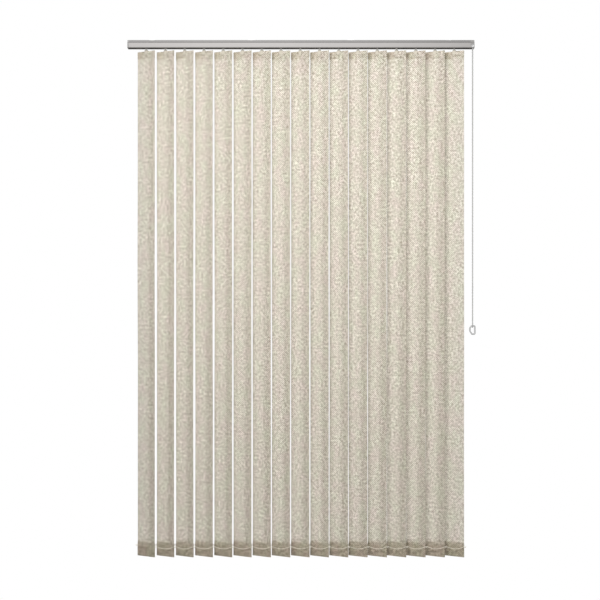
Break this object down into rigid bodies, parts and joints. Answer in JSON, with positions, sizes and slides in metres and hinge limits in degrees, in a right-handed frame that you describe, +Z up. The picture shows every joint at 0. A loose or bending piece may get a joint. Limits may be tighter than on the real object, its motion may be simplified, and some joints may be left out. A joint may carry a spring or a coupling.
{
  "type": "vertical blind",
  "caption": "Vertical blind: an aluminium headrail carries woven fabric louvres on hook stems, joined below by link chains and worked by one control chain with a ring weight.",
  "frame": {"origin": "middle of the ceiling face of the four brackets", "axes": "+X along the rail towards the control chain, -Y to the room, +Z up"},
  "size_m": [1.4074, 0.0612, 2.0902],
  "materials": {
    "rail_aluminium": "satin anodised",
    "rod_aluminium": "drawn",
    "bracket_steel": "zinc plated",
    "end_fitting_plastic": "fine moulded grain",
    "carrier_plastic": "moulded",
    "stem_plastic": "moulded",
    "louvre_fabric": "stiffened slub weave",
    "chain_plastic": "moulded beads",
    "weight_plastic": "moulded",
    "bottom_chain_plastic": "moulded beads"
  },
  "bodies": {
    "root": {"ceiling_brackets": "bracket_steel", "headrail": "rail_aluminium", "return_end_cap": "end_fitting_plastic", "control_housing": "end_fitting_plastic", "control_chain": "chain_plastic", "chain_weight": "weight_plastic", "carrier_17": "carrier_plastic"},
    "tilt_rod": {"tilt_rod": "rod_aluminium"},
    "carrier_01": {"carrier_01": "carrier_plastic"},
    "louvre_set_01": {"hook_stem_01": "stem_plastic", "louvre_01": "louvre_fabric"},
    "carrier_02": {"carrier_02": "carrier_plastic"},
    "louvre_set_02": {"hook_stem_02": "stem_plastic", "louvre_02": "louvre_fabric"},
    "carrier_03": {"carrier_03": "carrier_plastic"},
    "louvre_set_03": {"hook_stem_03": "stem_plastic", "louvre_03": "louvre_fabric"},
    "carrier_04": {"carrier_04": "carrier_plastic"},
    "louvre_set_04": {"hook_stem_04": "stem_plastic", "louvre_04": "louvre_fabric"},
    "carrier_05": {"carrier_05": "carrier_plastic"},
    "louvre_set_05": {"hook_stem_05": "stem_plastic", "louvre_05": "louvre_fabric"},
    "carrier_06": {"carrier_06": "carrier_plastic"},
    "louvre_set_06": {"hook_stem_06": "stem_plastic", "louvre_06": "louvre_fabric"},
    "carrier_07": {"carrier_07": "carrier_plastic"},
    "louvre_set_07": {"hook_stem_07": "stem_plastic", "louvre_07": "louvre_fabric"},
    "carrier_08": {"carrier_08": "carrier_plastic"},
    "louvre_set_08": {"hook_stem_08": "stem_plastic", "louvre_08": "louvre_fabric"},
    "carrier_09": {"carrier_09": "carrier_plastic"},
    "louvre_set_09": {"hook_stem_09": "stem_plastic", "louvre_09": "louvre_fabric"},
    "carrier_10": {"carrier_10": "carrier_plastic"},
    "louvre_set_10": {"hook_stem_10": "stem_plastic", "louvre_10": "louvre_fabric"},
    "carrier_11": {"carrier_11": "carrier_plastic"},
    "louvre_set_11": {"hook_stem_11": "stem_plastic", "louvre_11": "louvre_fabric"},
    "carrier_12": {"carrier_12": "carrier_plastic"},
    "louvre_set_12": {"hook_stem_12": "stem_plastic", "louvre_12": "louvre_fabric"},
    "carrier_13": {"carrier_13": "carrier_plastic"},
    "louvre_set_13": {"hook_stem_13": "stem_plastic", "louvre_13": "louvre_fabric"},
    "carrier_14": {"carrier_14": "carrier_plastic"},
    "louvre_set_14": {"hook_stem_14": "stem_plastic", "louvre_14": "louvre_fabric"},
    "carrier_15": {"carrier_15": "carrier_plastic"},
    "louvre_set_15": {"hook_stem_15": "stem_plastic", "louvre_15": "louvre_fabric"},
    "carrier_16": {"carrier_16": "carrier_plastic"},
    "louvre_set_16": {"hook_stem_16": "stem_plastic", "louvre_16": "louvre_fabric"},
    "louvre_set_17": {"hook_stem_17": "stem_plastic", "louvre_17": "louvre_fabric"},
    "front_chain": {"bottom_chain_front": "bottom_chain_plastic"},
    "back_chain": {"bottom_chain_back": "bottom_chain_plastic"}
  },
  "joints": [
    {"name": "traverse", "type": "slide", "parent": "root", "child": "carrier_01", "axis": [1, 0, 0], "range_m": [0, 0.928], "deforming": ["bottom_chain_front", "bottom_chain_back"]},
    {"name": "tilt", "type": "hinge", "parent": "root", "child": "louvre_set_17", "pos_m": [0.6212, 0, -0.0332], "axis": [0, 0, 1], "range_deg": [-134, 22]},
    {"name": "carrier_slide_02", "type": "slide", "parent": "root", "child": "carrier_02", "axis": [1, 0, 0], "range_m": [0, 0.87]},
    {"name": "carrier_slide_03", "type": "slide", "parent": "root", "child": "carrier_03", "axis": [1, 0, 0], "range_m": [0, 0.812]},
    {"name": "carrier_slide_04", "type": "slide", "parent": "root", "child": "carrier_04", "axis": [1, 0, 0], "range_m": [0, 0.754]},
    {"name": "carrier_slide_05", "type": "slide", "parent": "root", "child": "carrier_05", "axis": [1, 0, 0], "range_m": [0, 0.696]},
    {"name": "carrier_slide_06", "type": "slide", "parent": "root", "child": "carrier_06", "axis": [1, 0, 0], "range_m": [0, 0.638]},
    {"name": "carrier_slide_07", "type": "slide", "parent": "root", "child": "carrier_07", "axis": [1, 0, 0], "range_m": [0, 0.58]},
    {"name": "carrier_slide_08", "type": "slide", "parent": "root", "child": "carrier_08", "axis": [1, 0, 0], "range_m": [0, 0.522]},
    {"name": "carrier_slide_09", "type": "slide", "parent": "root", "child": "carrier_09", "axis": [1, 0, 0], "range_m": [0, 0.464]},
    {"name": "carrier_slide_10", "type": "slide", "parent": "root", "child": "carrier_10", "axis": [1, 0, 0], "range_m": [0, 0.406]},
    {"name": "carrier_slide_11", "type": "slide", "parent": "root", "child": "carrier_11", "axis": [1, 0, 0], "range_m": [0, 0.348]},
    {"name": "carrier_slide_12", "type": "slide", "parent": "root", "child": "carrier_12", "axis": [1, 0, 0], "range_m": [0, 0.29]},
    {"name": "carrier_slide_13", "type": "slide", "parent": "root", "child": "carrier_13", "axis": [1, 0, 0], "range_m": [0, 0.232]},
    {"name": "carrier_slide_14", "type": "slide", "parent": "root", "child": "carrier_14", "axis": [1, 0, 0], "range_m": [0, 0.174]},
    {"name": "carrier_slide_15", "type": "slide", "parent": "root", "child": "carrier_15", "axis": [1, 0, 0], "range_m": [0, 0.116]},
    {"name": "carrier_slide_16", "type": "slide", "parent": "root", "child": "carrier_16", "axis": [1, 0, 0], "range_m": [0, 0.058]},
    {"name": "louvre_tilt_01", "type": "hinge", "parent": "carrier_01", "child": "louvre_set_01", "pos_m": [-0.6268, 0, -0.0332], "axis": [0, 0, 1], "range_deg": [-134, 22]},
    {"name": "louvre_tilt_02", "type": "hinge", "parent": "carrier_02", "child": "louvre_set_02", "pos_m": [-0.5488, 0, -0.0332], "axis": [0, 0, 1], "range_deg": [-134, 22]},
    {"name": "louvre_tilt_03", "type": "hinge", "parent": "carrier_03", "child": "louvre_set_03", "pos_m": [-0.4708, 0, -0.0332], "axis": [0, 0, 1], "range_deg": [-134, 22]},
    {"name": "louvre_tilt_04", "type": "hinge", "parent": "carrier_04", "child": "louvre_set_04", "pos_m": [-0.3928, 0, -0.0332], "axis": [0, 0, 1], "range_deg": [-134, 22]},
    {"name": "louvre_tilt_05", "type": "hinge", "parent": "carrier_05", "child": "louvre_set_05", "pos_m": [-0.3148, 0, -0.0332], "axis": [0, 0, 1], "range_deg": [-134, 22]},
    {"name": "louvre_tilt_06", "type": "hinge", "parent": "carrier_06", "child": "louvre_set_06", "pos_m": [-0.2368, 0, -0.0332], "axis": [0, 0, 1], "range_deg": [-134, 22]},
    {"name": "louvre_tilt_07", "type": "hinge", "parent": "carrier_07", "child": "louvre_set_07", "pos_m": [-0.1588, 0, -0.0332], "axis": [0, 0, 1], "range_deg": [-134, 22]},
    {"name": "louvre_tilt_08", "type": "hinge", "parent": "carrier_08", "child": "louvre_set_08", "pos_m": [-0.0808, 0, -0.0332], "axis": [0, 0, 1], "range_deg": [-134, 22]},
    {"name": "louvre_tilt_09", "type": "hinge", "parent": "carrier_09", "child": "louvre_set_09", "pos_m": [-0.0028, 0, -0.0332], "axis": [0, 0, 1], "range_deg": [-134, 22]},
    {"name": "louvre_tilt_10", "type": "hinge", "parent": "carrier_10", "child": "louvre_set_10", "pos_m": [0.0752, 0, -0.0332], "axis": [0, 0, 1], "range_deg": [-134, 22]},
    {"name": "louvre_tilt_11", "type": "hinge", "parent": "carrier_11", "child": "louvre_set_11", "pos_m": [0.1532, 0, -0.0332], "axis": [0, 0, 1], "range_deg": [-134, 22]},
    {"name": "louvre_tilt_12", "type": "hinge", "parent": "carrier_12", "child": "louvre_set_12", "pos_m": [0.2312, 0, -0.0332], "axis": [0, 0, 1], "range_deg": [-134, 22]},
    {"name": "louvre_tilt_13", "type": "hinge", "parent": "carrier_13", "child": "louvre_set_13", "pos_m": [0.3092, 0, -0.0332], "axis": [0, 0, 1], "range_deg": [-134, 22]},
    {"name": "louvre_tilt_14", "type": "hinge", "parent": "carrier_14", "child": "louvre_set_14", "pos_m": [0.3872, 0, -0.0332], "axis": [0, 0, 1], "range_deg": [-134, 22]},
    {"name": "louvre_tilt_15", "type": "hinge", "parent": "carrier_15", "child": "louvre_set_15", "pos_m": [0.4652, 0, -0.0332], "axis": [0, 0, 1], "range_deg": [-134, 22]},
    {"name": "louvre_tilt_16", "type": "hinge", "parent": "carrier_16", "child": "louvre_set_16", "pos_m": [0.5432, 0, -0.0332], "axis": [0, 0, 1], "range_deg": [-134, 22]},
    {"name": "rod_turn", "type": "hinge", "parent": "root", "child": "tilt_rod", "pos_m": [0, -0.0107, -0.0245], "axis": [1, 0, 0], "range_deg": [-536, 88]},
    {"name": "front_chain_swing", "type": "hinge", "parent": "louvre_set_17", "child": "front_chain", "pos_m": [0.6625, -0.02765, -2.0492], "axis": [0, 0, 1], "range_deg": [-22, 134]},
    {"name": "back_chain_swing", "type": "hinge", "parent": "louvre_set_17", "child": "back_chain", "pos_m": [0.5799, 0.02765, -2.0492], "axis": [0, 0, 1], "range_deg": [-22, 134]}
  ],
  "couplings": [
    {"joint": "carrier_slide_02", "follows": "traverse", "ratio": 0.9375},
    {"joint": "carrier_slide_03", "follows": "traverse", "ratio": 0.875},
    {"joint": "carrier_slide_04", "follows": "traverse", "ratio": 0.8125},
    {"joint": "carrier_slide_05", "follows": "traverse", "ratio": 0.75},
    {"joint": "carrier_slide_06", "follows": "traverse", "ratio": 0.6875},
    {"joint": "carrier_slide_07", "follows": "traverse", "ratio": 0.625},
    {"joint": "carrier_slide_08", "follows": "traverse", "ratio": 0.5625},
    {"joint": "carrier_slide_09", "follows": "traverse", "ratio": 0.5},
    {"joint": "carrier_slide_10", "follows": "traverse", "ratio": 0.4375},
    {"joint": "carrier_slide_11", "follows": "traverse", "ratio": 0.375},
    {"joint": "carrier_slide_12", "follows": "traverse", "ratio": 0.3125},
    {"joint": "carrier_slide_13", "follows": "traverse", "ratio": 0.25},
    {"joint": "carrier_slide_14", "follows": "traverse", "ratio": 0.1875},
    {"joint": "carrier_slide_15", "follows": "traverse", "ratio": 0.125},
    {"joint": "carrier_slide_16", "follows": "traverse", "ratio": 0.0625},
    {"joint": "louvre_tilt_01", "follows": "tilt", "ratio": 1},
    {"joint": "louvre_tilt_02", "follows": "tilt", "ratio": 1},
    {"joint": "louvre_tilt_03", "follows": "tilt", "ratio": 1},
    {"joint": "louvre_tilt_04", "follows": "tilt", "ratio": 1},
    {"joint": "louvre_tilt_05", "follows": "tilt", "ratio": 1},
    {"joint": "louvre_tilt_06", "follows": "tilt", "ratio": 1},
    {"joint": "louvre_tilt_07", "follows": "tilt", "ratio": 1},
    {"joint": "louvre_tilt_08", "follows": "tilt", "ratio": 1},
    {"joint": "louvre_tilt_09", "follows": "tilt", "ratio": 1},
    {"joint": "louvre_tilt_10", "follows": "tilt", "ratio": 1},
    {"joint": "louvre_tilt_11", "follows": "tilt", "ratio": 1},
    {"joint": "louvre_tilt_12", "follows": "tilt", "ratio": 1},
    {"joint": "louvre_tilt_13", "follows": "tilt", "ratio": 1},
    {"joint": "louvre_tilt_14", "follows": "tilt", "ratio": 1},
    {"joint": "louvre_tilt_15", "follows": "tilt", "ratio": 1},
    {"joint": "louvre_tilt_16", "follows": "tilt", "ratio": 1},
    {"joint": "rod_turn", "follows": "tilt", "ratio": 4},
    {"joint": "front_chain_swing", "follows": "tilt", "ratio": -1},
    {"joint": "back_chain_swing", "follows": "tilt", "ratio": -1}
  ]
}
